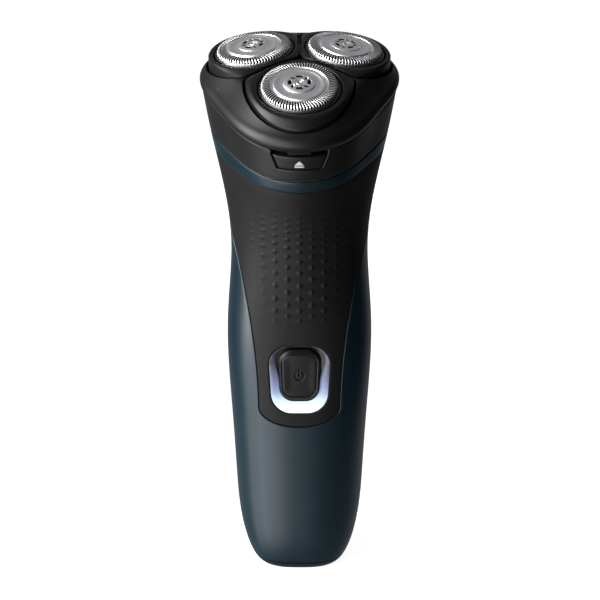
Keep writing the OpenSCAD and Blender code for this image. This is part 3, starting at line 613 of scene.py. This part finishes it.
def scales(flat, _from_edge):
    """Relief of the grip: staggered columns of small pointed bumps, tallest in the middle of the field."""
    p = flat_handle(flat)
    x, z = p[:, 0], p[:, 2]
    column = np.round(x / COLUMN)
    row = np.interp(z, ROW_Z, ROW_COUNT) + 0.5 * (column % 2)
    pitch = np.interp(z, ROW_Z, ROW_PITCH)
    across, along = np.abs(x - column * COLUMN), np.abs(row - np.round(row)) * pitch
    bump = np.clip(1 - across / 1.3 - along / (0.15 + 0.28 * pitch), 0, 1)
    wide = 13.5 + 5 * smoothstep(84, 112, z)
    field = smoothstep(1, 0.5, np.abs(x) / wide) * smoothstep(118.5, 104, z) * smoothstep(78, 85, z)
    ridge = v_of(PANEL_TOP_T) - 1.6 - flat[:, 1]
    return 0.42 * field * bump - 0.2 + 0.16 * smoothstep(-0.2, 0.2, ridge)


def make_panel():
    low = TONGUE_IN.copy()
    low[:, 1] = np.minimum(low[:, 1], v_of(PANEL_TOP_T - 0.014))
    hole = on_front(pad(*PANEL_HOLE), PAD_Z)
    lined = [closed(low), closed(hole)]
    grip = (0.3, lambda g: (g[:, 1] > 78) & (g[:, 1] < 124) & (np.abs(g[:, 0]) < 21))
    verts, faces = skin([low, hole], lined, flat_handle, WALL, 1.1, 0.24, relief=scales, zones=[grip])
    return piece("grip_panel", verts, faces, "root", ["front_panel"], MATS["panel"], sharp=35)


# ---------------------------------------------------------------- power button and its light
def even_loop(outline, count):
    """The outline as evenly spaced points, starting above its middle."""
    line = closed(outline)
    length = np.concatenate([[0], np.cumsum(np.hypot(*np.diff(line, axis=0).T))])
    at = np.linspace(0, length[-1], count, endpoint=False)
    out = np.stack([np.interp(at, length, line[:, 0]), np.interp(at, length, line[:, 1])], -1)
    first = int(np.argmin(np.abs(out[:, 0]) - 1e-3 * out[:, 1]))
    return np.roll(out, -first, axis=0)


def ring_between(outer, inner, shares, offs, count=200):
    """Rows of surface points between two outlines, at these shares of the way in and these depths."""
    a, b = even_loop(outer, count), even_loop(inner, count)
    rows = []
    for share, off in zip(shares, offs):
        share = share(a) if callable(share) else share
        p = a + (b - a) * np.reshape(share, (-1, 1))
        rows.append(flat_handle(find(p[:, 0], p[:, 1]), np.full(count, off)))
    return np.array(rows)


def make_button():
    """Light guide round the power button, the dark trough inside it, and the button with its symbol."""
    outer = pad(*GUIDE_OUTSIDE) + [0, PAD_Z]
    inner = pad(*GUIDE_INSIDE) + [0, BUTTON_Z]

    def lens(f):
        return lambda p: f * (0.92 - 0.6 * smoothstep(60, 73, p[:, 1]))
    guide = Solid()
    shares = [0.0, 0.0, lens(0.04), lens(0.12), lens(0.5), lens(0.9), lens(0.98), lens(1.0), lens(1.0)]
    depths = [-3.3, -0.35, -0.16, -0.12, -0.42, -0.78, -0.95, -1.3, -3.3]
    guide.grid(ring_between(outer, inner, shares, depths))
    piece("light_guide_ring", guide.verts, guide.faces, "root", ["light_ring"], MATS["light"],
          sharp=50)
    trough = Solid()
    trough.grid(ring_between(outer, inner, [lens(1.005), lens(1.005), 1.0, 1.0], [-3.2, -1.6, -2.0, -3.2]))
    piece("button_surround", trough.verts, trough.faces, "root", [], MATS["black_plastic"])

    loop = on_front(pad(*BUTTON_PAD), BUTTON_Z)
    symbol_r, symbol_gap = 1.32, 0.62

    def face(flat, d):
        p = flat_handle(flat)
        x, z = p[:, 0], p[:, 2] - BUTTON_Z
        rim = -0.75 * smoothstep(0.95, 0.05, d)
        groove = -0.2 * np.exp(-((d - 1.3) / 0.16) ** 2)
        dish = -0.22 * smoothstep(1.2, 4.5, d)
        r = np.hypot(x, z)
        tip_x, tip_z = symbol_r * math.sin(symbol_gap), symbol_r * math.cos(symbol_gap)
        arc = np.where(np.abs(np.arctan2(x, z)) > symbol_gap, np.abs(r - symbol_r),
                       np.hypot(np.abs(x) - tip_x, z - tip_z))
        bar = np.hypot(x, z - np.clip(z, 0.25, 1.75))
        mark = -0.3 * smoothstep(0.34, 0.16, np.minimum(arc, bar))
        return rim + groove + dish + mark + 0.1
    centre = on_front(np.array([[0.0, 0.0]]), BUTTON_Z)[0]
    verts, faces = skin([loop], [closed(loop)], flat_handle, 2.3, 0.55, 0.14, relief=face,
                        rows=(0.35, 0.65, 0.95, 1.1, 1.2, 1.3, 1.4, 1.52, 1.7),
                        zones=[(0.11, lambda g: np.hypot(g[:, 0] - centre[0], g[:, 1] - centre[1]) < 2.6)])
    solid = Solid()
    solid.add(verts, faces)
    solid.turned([(0.01, 13.9), (2.5, 13.9), (2.6, 14.0), (2.6, 16.4), (0.01, 16.4)], 32,
                 lambda q: np.stack([q[..., 0], -q[..., 2], q[..., 1] + BUTTON_Z], -1))
    piece("power_button_cap", solid.verts, solid.faces, "power_button", ["power_button"],
          MATS["button"], sharp=45)


# ---------------------------------------------------------------- neck
def on_neck(points):
    """Flattened coordinates of points given by x and height along the head's axis."""
    p = np.array(points, float)
    return find(p[:, 0], p[:, 1], in_head=True)


def hinge_eye(solid, x, width, foot_y, foot_h):
    """A lug round the hinge pin with a foot below it."""
    ring = [(math.cos(b), math.sin(b)) for b in np.linspace(0, TAU, 33)[:-1]]
    rows = []
    for side in (-1, 1):
        outer = [(HINGE_Y + EYE_R * c, HINGE_H + EYE_R * s) for c, s in ring]
        inner = [(HINGE_Y + EYE_HOLE_R * c, HINGE_H + EYE_HOLE_R * s) for c, s in ring]
        pair = [outer, inner] if side < 0 else [inner, outer]
        for loop in pair:
            rows.append([[x + side * width / 2, y, h] for y, h in loop])
    solid.grid(from_head(np.array(rows)))
    if foot_h is not None:
        solid.block((x - width / 2, foot_y - 0.7, foot_h), (x + width / 2, foot_y + 0.7, HINGE_H - 0.6),
                    from_head)


def make_collar():
    """Collar with a notch for the release key and three hinge lugs."""
    low, high = v_of(BAND_TOP_T + 0.035), v_of(LAST_T)
    half, drop = 7.8, 6.25
    right = on_neck([[8.05, -11.8], [8.05, KEY_TOP], [half + 0.2, KEY_TOP - 0.2],
                     [drop + 0.2, KEY_FOOT - 0.15]])
    right[0, 1] = high
    left = right[::-1] * [-1, 1]
    bottom = on_neck([[x, KEY_FOOT - 0.2] for x in np.linspace(drop, -drop, 9)])
    notch = np.vstack([right, bottom, left])
    rim = np.vstack([[[-U_BACK, low], [U_BACK, low], [U_BACK, high]], notch, [[-U_BACK, high]]])
    edges = [rim[:2], rim[2:]]
    verts, faces = skin([rim], edges, flat_handle, WALL, 1.3, 0.35)
    solid = Solid()
    solid.add(verts, faces)
    for x, width in ((0, 5), (-10.5, 4.2), (10.5, 4.2)):
        hinge_eye(solid, x, width, 23.6, -16)
    return piece("neck_ring", solid.verts, solid.faces, "root", ["neck_collar"],
                 MATS["head_plastic"])


def make_release():
    """Release key with its hook, and the eject symbol printed on it."""
    half, drop = 7.72, 6.15
    loop = np.vstack([on_neck([[x, KEY_FOOT] for x in np.linspace(-drop, drop, 12)])[:-1],
                      on_neck([[drop, KEY_FOOT], [half, KEY_TOP]])[:-1],
                      on_neck([[x, KEY_TOP] for x in np.linspace(half, -half, 14)])[:-1],
                      on_neck([[-half, KEY_TOP], [-drop, KEY_FOOT]])[:-1]])

    def surface(flat, off):
        return flat_handle(flat, off - 0.1)
    verts, faces = skin([loop], [closed(loop)], surface, 2.4, 0.7, 0.4)
    solid = Solid()
    solid.add(verts, faces)
    solid.block((-4, -32.2, -16.8), (4, -27.9, -15.4), from_head)
    solid.block((-3.4, -31.9, -13.6), (3.4, -30.9, -12.3), from_head)
    solid.block((-3.4, -32.4, -14.4), (3.4, -30.9, -13.25), from_head)
    piece("release_key", solid.verts, solid.faces, "release_button", ["release_button"],
          MATS["head_plastic"])
    mark = Solid()
    for outline in ([[-1.35, -15.95], [1.35, -15.95], [0, -14.55]],
                    [[-1.35, -16.7], [1.35, -16.7], [1.35, -16.25], [-1.35, -16.25]]):
        loop = on_neck(outline)
        verts, faces = skin([loop], [closed(loop)], lambda f, off: flat_handle(f, off - 0.07), 0.3, 0.4, 0.02)
        mark.add(verts, faces)
    piece("open_mark", mark.verts, mark.faces, "release_button", [], MARK)


# ---------------------------------------------------------------- head frame
# Lip of the frame, outside and inside: distance past the lip's own section, height
FRAME_OUTER = np.array([[0, -11.3], [0.8, -10.5], [1.2, -9.4], [1.1, -8.4], [0.3, -7.3], [-1.2, -6.4],
                        [-3, -5.1], [-4.6, -3.8], [-6.2, -2.6], [-8, -1.9], [-13, -1.6]])
FRAME_INNER = np.array([[-1.8, -11.4], [-0.8, -10.3], [-0.45, -9.4], [-0.8, -8.6], [-2.2, -7.7],
                        [-4.4, -6.2], [-6.4, -4.7], [-8.4, -3.8], [-13, -3.4]])


def catmull(points, n=8):
    """Smooth curve through the points."""
    p = np.vstack([2 * points[0] - points[1], points, 2 * points[-1] - points[-2]])
    out = []
    for i in range(1, len(p) - 2):
        for f in np.arange(n) / n:
            out.append(0.5 * (2 * p[i] + (p[i + 1] - p[i - 1]) * f
                              + (2 * p[i - 1] - 5 * p[i] + 4 * p[i + 1] - p[i + 2]) * f ** 2
                              + (3 * p[i] - p[i - 1] - 3 * p[i + 1] + p[i + 2]) * f ** 3))
    out.append(points[-1])
    return np.array(out)


def petal_bound(k, centre, direction, inset):
    """Distance from a point to a petal's outline along directions, in the unit's frame.

    Two straight flanks meet half an ellipse; where they meet, the outline is a little round.
    """
    dx, dy = np.cos(direction), np.sin(direction)
    cx, cy = centre
    flank_s, flank_c = math.sin(math.radians(60)), math.cos(math.radians(60))
    hits = []
    for sign in (1, -1):
        slope = flank_s * dx - sign * flank_c * dy
        room = flank_s * cx - sign * flank_c * cy - inset
        hits.append(np.where(slope < -1e-6, room / np.maximum(-slope, 1e-6), 1e3))
    half_a, half_b = PETAL_REACH[k] - PETAL_CORNER - inset, PETAL_HALF_W - inset
    px, py = (cx - PETAL_CORNER) / half_a, cy / half_b
    qx, qy = dx / half_a, dy / half_b
    a, b, c = qx ** 2 + qy ** 2, px * qx + py * qy, px ** 2 + py ** 2 - 1
    hits.append((-b + np.sqrt(np.maximum(b * b - a * c, 0))) / a)
    hits = np.maximum(np.array(hits), 1e-3)
    corner = 22.0
    return (hits ** -corner).sum(0) ** (-1 / corner)


def frame_opening(a):
    """Distance from the head's axis to the edge of the opening for the petals, at angle a from the front."""
    best = np.zeros_like(a)
    for k in range(3):
        p = np.linspace(0, 34, 1200)
        for i, x in enumerate(a):
            d = x - math.pi / 2 - UNIT_ANGLE[k]
            ux, uy = p * math.cos(d), p * math.sin(d)
            far = np.hypot(ux - CAP_RING, uy)
            angle = np.arctan2(uy, ux - CAP_RING)
            ok = far < petal_bound(k, (CAP_RING, 0.0), angle, -0.1)
            if ok.any():
                best[i] = max(best[i], p[ok][-1])
    return best


def make_frame():
    """Lip that ends at the petals, three arms with ribs between the petals, hinge lugs and pivot posts."""
    a = np.linspace(0, TAU, 360, endpoint=False)
    lip = section_r(LIP[None, :], a)
    outer, inner = catmull(FRAME_OUTER), catmull(FRAME_INNER)
    steep = 0.78 + 0.22 * np.cos(a)  # steps inwards are longest at the front
    cut = frame_opening(a) - lip
    cut = np.minimum(np.where(cut < 0, cut / steep, cut), 0.75)
    soft = 0.3
    top = int(np.argmax(outer[:, 0]))
    along = np.linspace(0, 1, len(outer))
    begin = np.interp(-(cut + soft / steep), -outer[top:, 0], along[top:])
    rows = []
    for f in np.linspace(0, 1, 34):
        s = begin * f
        rows.append((np.interp(s, along, outer[:, 0]), np.interp(s, along, outer[:, 1])))
    edge_off, edge_h = rows[-1]
    for deg in (22, 45, 68, 90):
        b = math.radians(deg)
        rows.append((edge_off - soft / steep * math.sin(b), edge_h - soft * (1 - math.cos(b))))
    wall_off = edge_off - soft / steep
    in_top = int(np.argmax(inner[:, 0]))
    along_in = np.linspace(0, 1, len(inner))
    end_in = np.interp(-np.minimum(wall_off, inner[in_top, 0]), -inner[in_top:, 0], along_in[in_top:])
    for f in np.linspace(1, 0, 14):
        s = end_in * f
        off = np.interp(s, along_in, inner[:, 0])
        h = np.interp(s, along_in, inner[:, 1])
        rows.append((np.minimum(off, wall_off) if f == 1 else off, h))
    radii = [(lip + np.where(off < 0, off * steep, off), h) for off, h in rows]
    grid = np.array([np.stack([r * np.sin(a), -r * np.cos(a), h + 0 * a], -1) for r, h in radii])
    solid = Solid()
    solid.grid(from_head(grid))
    for angle in (-30, 90, 210):
        c, s = math.cos(math.radians(angle)), math.sin(math.radians(angle))

        def turn(q, c=c, s=s):
            x, y = c * q[..., 0] - s * q[..., 1], s * q[..., 0] + c * q[..., 1]
            return from_head(np.stack([x, y, q[..., 2]], -1))
        reach = 22.4 if angle == 90 else float(np.interp(math.radians((angle + 90) % 360), a, lip)) - 0.5
        solid.block((0.2, -1.3, -11.2), (reach, 1.3, -9.9), turn)
        solid.block((0.6, -0.3, -10.5), (18, 0.3, -2.0), turn, soft=0.12)
    for x in (-5.4, 5.4):
        hinge_eye(solid, x, 4.8, HINGE_Y, None)
    for k in range(3):
        for side in (-1, 1):
            x = CAP_RING - CAP_PIVOT * math.sin(CAP_TILT)
            solid.block((x - 2.1, side * 17.5 - 0.9, -9), (x + 2.1, side * 17.5 + 0.9, -5.8),
                        lambda q, k=k: from_unit(k, q))
    solid.block((-3.2, -33.3, -12.9), (3.2, -32.3, -9), from_head)
    return piece("head_shell", solid.verts, solid.faces, "head", ["head_frame"],
                 MATS["head_plastic"], sharp=42)


# ---------------------------------------------------------------- petals
EDGE_FALL = [4.4, 3.4, 3.4]


def edge_height(k, x):
    """Height of a petal's edge above the head's plane, falling outwards."""
    return (-0.3 - 1.4 * np.minimum(1, x / PETAL_CORNER)
            - EDGE_FALL[k] * np.clip((x - PETAL_CORNER) / (PETAL_REACH[k] - PETAL_CORNER), 0, None) ** 1.3)


def crease(f, at=0.4, soft=0.12):
    """Flat until a soft crease, then a straight fall."""
    return np.hypot(f - at, soft) + f - at


def make_petal(k):
    """Petal surround: a tube for the cap's holder, a land round it, and a skin that falls to the edge."""
    n = 264
    th = np.arange(n) * TAU / n
    bound = petal_bound(k, (CAP_RING, 0.0), th, 0.0)
    bound_in = petal_bound(k, (CAP_RING, 0.0), th, 0.6)
    c, s = np.cos(th), np.sin(th)

    def ring(r, z):
        return cap_to_unit(np.stack([r * c, r * s, z + 0 * c], -1))
    land = ring(LAND_R, LAND_Z)
    full = np.stack([CAP_RING + bound * c, bound * s, 0 * c], -1)
    full[:, 2] = edge_height(k, full[:, 0])
    cut = np.stack([CAP_RING + bound_in * c, bound_in * s], -1)
    start, span = land[:, :2], full[:, :2] - land[:, :2]
    share = np.hypot(*(cut - start).T) / np.hypot(*span.T)

    def roll(f, drop=0.0):
        f = f * share
        g = (crease(f) - crease(0)) / (crease(1) - crease(0))
        p = start + span * f[:, None]
        return np.column_stack([p, land[:, 2] + (full[:, 2] - land[:, 2]) * g - drop])
    outer = [ring(r, z) for r, z in ((TUBE_R, -8.0), (TUBE_R, -3.0), (TUBE_R, -2.45), (12.1, -2.0),
                                     (12.28, -1.55), (12.45, -1.33), (12.65, -1.26))]
    outer += [roll(np.full(n, f)) for f in np.linspace(0, 0.975, 22)]
    last = roll(np.full(n, 1.0))
    near = outer[-1]
    outer += [near + (last - near) * w for w in (0.45, 0.8)]
    for dz in (0.14, 0.5, 2.0):
        p = last.copy()
        p[:, 2] -= dz
        outer.append(p)
    foot = last.copy()
    foot[:, 2] = PETAL_FOOT
    outer.append(foot)
    wall = bound_in - 1.25
    thin = np.stack([CAP_RING + wall * c, wall * s, 0 * c + PETAL_FOOT], -1)
    under = roll(np.full(n, 0.8), 1.4)
    under[:, :2] = thin[:, :2]
    under[:, 2] = np.minimum(under[:, 2], outer[20][:, 2] - 1.2)
    inner = [thin, under, ring(13.7, -2.9), ring(13.7, -8.0)]
    solid = Solid()
    solid.grid(from_unit(k, np.array(outer + inner)))
    lug_x, lug_z = CAP_RING - CAP_PIVOT * math.sin(CAP_TILT), -CAP_PIVOT * math.cos(CAP_TILT)
    for side in (-1, 1):
        solid.turned([(0.01, -1.6), (0.7, -1.6), (0.8, -1.5), (0.8, 1.6), (0.01, 1.6)], 20,
                     lambda q, side=side: from_unit(k, np.stack(
                         [q[..., 0] + lug_x, side * (16.4 + q[..., 2]), q[..., 1] + lug_z], -1)))
    return piece(f"petal_shell_{k + 1}", solid.verts, solid.faces, f"petal_{k + 1}", [f"petal_{k + 1}"],
                 MATS["petal_plastic"], sharp=48)


# ---------------------------------------------------------------- guard caps
def cap_matrix(k):
    """Places a cap's own frame in the part, in metres."""
    return (Matrix.Translation(Vector(HEAD_PLACE) * MM) @ Matrix.Rotation(HEAD_TILT, 4, "X")
            @ Matrix.Rotation(UNIT_ANGLE[k], 4, "Z") @ Matrix.Translation((CAP_RING * MM, 0, 0))
            @ Matrix.Rotation(CAP_TILT, 4, "Y"))


# Outer face of a cap, radius and height: hub, dish with its step, groove, slotted land, side wall
CAP_PROFILE = [(0.25, 0.66), (0.9, 0.7), (1.02, 0.62), (1.18, 0.5), (1.34, 0.62), (1.5, 0.7), (2.1, 0.7),
               (2.3, 0.7), (2.6, 0.7), (2.95, 0.7), (3.3, 0.67), (3.7, 0.6), (4.2, 0.46), (4.5, 0.36),
               (4.62, 0.2), (4.8, 0.14), (5.6, 0.06), (6.4, 0.1), (6.55, 0.2), (7.2, 0.2), (7.45, 0.16),
               (7.62, 0.02), (7.72, -0.3), (8.0, -0.34), (8.16, -0.3), (8.26, -0.02), (8.4, 0.06),
               (8.6, 0.07), (9.2, 0.06), (9.8, 0.04), (10.2, 0.0), (10.5, -0.07), (10.75, -0.2),
               (10.92, -0.42), (11.0, -0.7), (11.0, -1.1), (11.0, -1.3), (11.0, -2.6), (11.0, -4.25)]
SLOTS = 76
SLOT_FROM_R, SLOT_DEPTH = 8.4, -1.1
HUB_FROM_R, HUB_TO_R = 2.1, 3.3
SHEET = 0.3


def make_cap(k):
    """Guard cap: a turned sheet with a slanted slot at every pitch and openings round its hub."""
    pitch = TAU / SLOTS
    cols = np.array([pitch * (i + f) for i in range(SLOTS) for f in (0.0, 0.54, 0.77)])
    rows = []
    for r, z in CAP_PROFILE:
        slant = math.radians(3.4) * np.clip((r - SLOT_FROM_R) / 2.6, 0, 1)
        a = cols + slant
        x, y = r * np.cos(a), r * np.sin(a)
        if 0.9 < r < 1.55:
            squash = (np.abs(np.cos(a)) ** 3 + np.abs(np.sin(a)) ** 3) ** (-1 / 3)
            x, y = x * squash * 0.95, y * squash * 0.8
        rows.append(np.stack([x, y, 0 * a + z], -1))
    mids = cols + pitch * 0.15

    def keep(i, j):
        r0 = CAP_PROFILE[i][0]
        r1, z1 = CAP_PROFILE[i + 1]
        if r0 >= SLOT_FROM_R - 1e-6 and z1 >= SLOT_DEPTH - 1e-6 and j % 3 == 0:
            return False
        if HUB_FROM_R <= r0 and r1 <= HUB_TO_R + 1e-6:
            a = math.degrees(mids[j]) % 90
            if min(a, 90 - a) < 20 and r0 > HUB_FROM_R + 0.1:
                return False
            if abs(a - 45 - 9 * (r0 - 2.7)) < 8:
                return False
        return True
    solid = Solid()
    solid.grid(np.array(rows), wrap_rows=False, keep=keep)
    obj = piece(f"guard_cap_shell_{k + 1}", solid.verts, solid.faces, f"cap_{k + 1}", [f"guard_cap_{k + 1}"],
                MATS["cap_steel"], place=cap_matrix(k), sharp=50)
    # The sheet's underside and the sides of its slots take the darker steel after it: painted shade
    thick = obj.modifiers.new("sheet", "SOLIDIFY")
    thick.thickness = SHEET * MM
    thick.offset = -1
    thick.material_offset = thick.material_offset_rim = 1
    obj.data.materials.append(CAP_UNDERSIDE_PAINTED_SHADE)
    return obj


make_housing()
make_base()
make_panel()
make_button()
make_collar()
make_release()
make_frame()
for unit in range(3):
    make_petal(unit)
    make_cap(unit)

# ---------------------------------------------------------------- floor, light and camera
floor_mesh = bpy.data.meshes.new("floor")
FLOOR_HALF = 14.0  # metres
floor_mesh.from_pydata([(FLOOR_HALF * x, FLOOR_HALF * y, 0) for x, y in ((-1, -1), (1, -1), (1, 1), (-1, 1))],
                       [], [(0, 1, 2, 3)])
floor = bpy.data.objects.new("floor", floor_mesh)
bpy.context.scene.collection.objects.link(floor)
floor_look = material("pale_floor", (0.5, 0.5, 0.5), 0.9, level=0.1, tint=0.004, cloud_mm=900)
floor_shader = floor_look.node_tree.nodes["Principled BSDF"]
floor_shader.inputs["Emission Color"].default_value = (1, 1, 1, 1)
floor_shader.inputs["Emission Strength"].default_value = 0.92
floor_mesh.materials.append(floor_look)
floor.visible_glossy = floor.visible_shadow = False


def card(name, foot, top):
    """Black card on a line of the floor, to keep the studio's white off the sides; no camera sees it."""
    mesh = bpy.data.meshes.new(name)
    mesh.from_pydata([(x, y, z) for z in (0.002, top) for x, y in foot], [],
                     [(i, i + 1, i + 1 + len(foot), i + len(foot)) for i in range(len(foot) - 1)])
    obj = bpy.data.objects.new(name, mesh)
    bpy.context.scene.collection.objects.link(obj)
    mesh.materials.append(material("black_card", (0.01, 0.01, 0.01), 0.9, level=0.05, cloud_mm=40))
    obj.visible_camera = False


card("card_right", [(0.075, -0.25), (0.105, -0.05), (0.15, 0.12)], 0.3)
card("card_left", [(-0.125, 0.02), (-0.165, 0.18)], 0.3)


def area_light(name, place, aim, size, power):
    data = bpy.data.lights.new(name, "AREA")
    data.shape = "RECTANGLE"
    data.size, data.size_y = size
    data.energy = power
    obj = bpy.data.objects.new(name, data)
    bpy.context.scene.collection.objects.link(obj)
    obj.location = place
    obj.rotation_euler = (Vector(aim) - Vector(place)).to_track_quat("-Z", "Y").to_euler()
    return obj


area_light("key_left", (-0.85, -0.2, 0.25), (0, 0, 0.1), (0.5, 0.7), 17)
area_light("soft_front", (-0.55, -0.75, 0.4), (0, 0, 0.1), (0.5, 0.6), 4)
area_light("rim_right", (0.5, 0.35, 0.35), (0, 0, 0.12), (0.15, 0.6), 0.8)
# Broad panels that only show as a sheen on the object; two of them reach below the floor's level
for name, place, size, power in (("sheen_left", (-0.88, -0.25, -0.1), (0.7, 1.3), 12),
                                 ("sheen_front", (-0.5, -0.72, -0.12), (0.8, 1.3), 22),
                                 ("sheen_high", (-0.66, -0.2, 0.56), (0.5, 0.6), 14),
                                 ("sheen_right", (0.62, -0.25, 0.5), (0.4, 0.4), 2.5)):
    area_light(name, place, (0, 0, 0.08), size, power).visible_diffuse = False
world = bpy.data.worlds.new("studio")
bpy.context.scene.world = world
world.use_nodes = True
world.node_tree.nodes["Background"].inputs["Color"].default_value = (0.96, 0.97, 1, 1)
world.node_tree.nodes["Background"].inputs["Strength"].default_value = 0.3

cam_data = bpy.data.cameras.new("camera")
cam_data.sensor_width = 36
cam_data.lens = 89.58
cam_data.shift_x = 0.00083
cam_data.clip_start, cam_data.clip_end = 0.01, 60
cam = bpy.data.objects.new("camera", cam_data)
bpy.context.scene.collection.objects.link(cam)
cam.location = (0, -0.44713, 0.18525)
cam.rotation_euler = (math.radians(90 - 12.807), 0, 0)
bpy.context.scene.camera = cam
bpy.context.scene.view_settings.view_transform = "Standard"
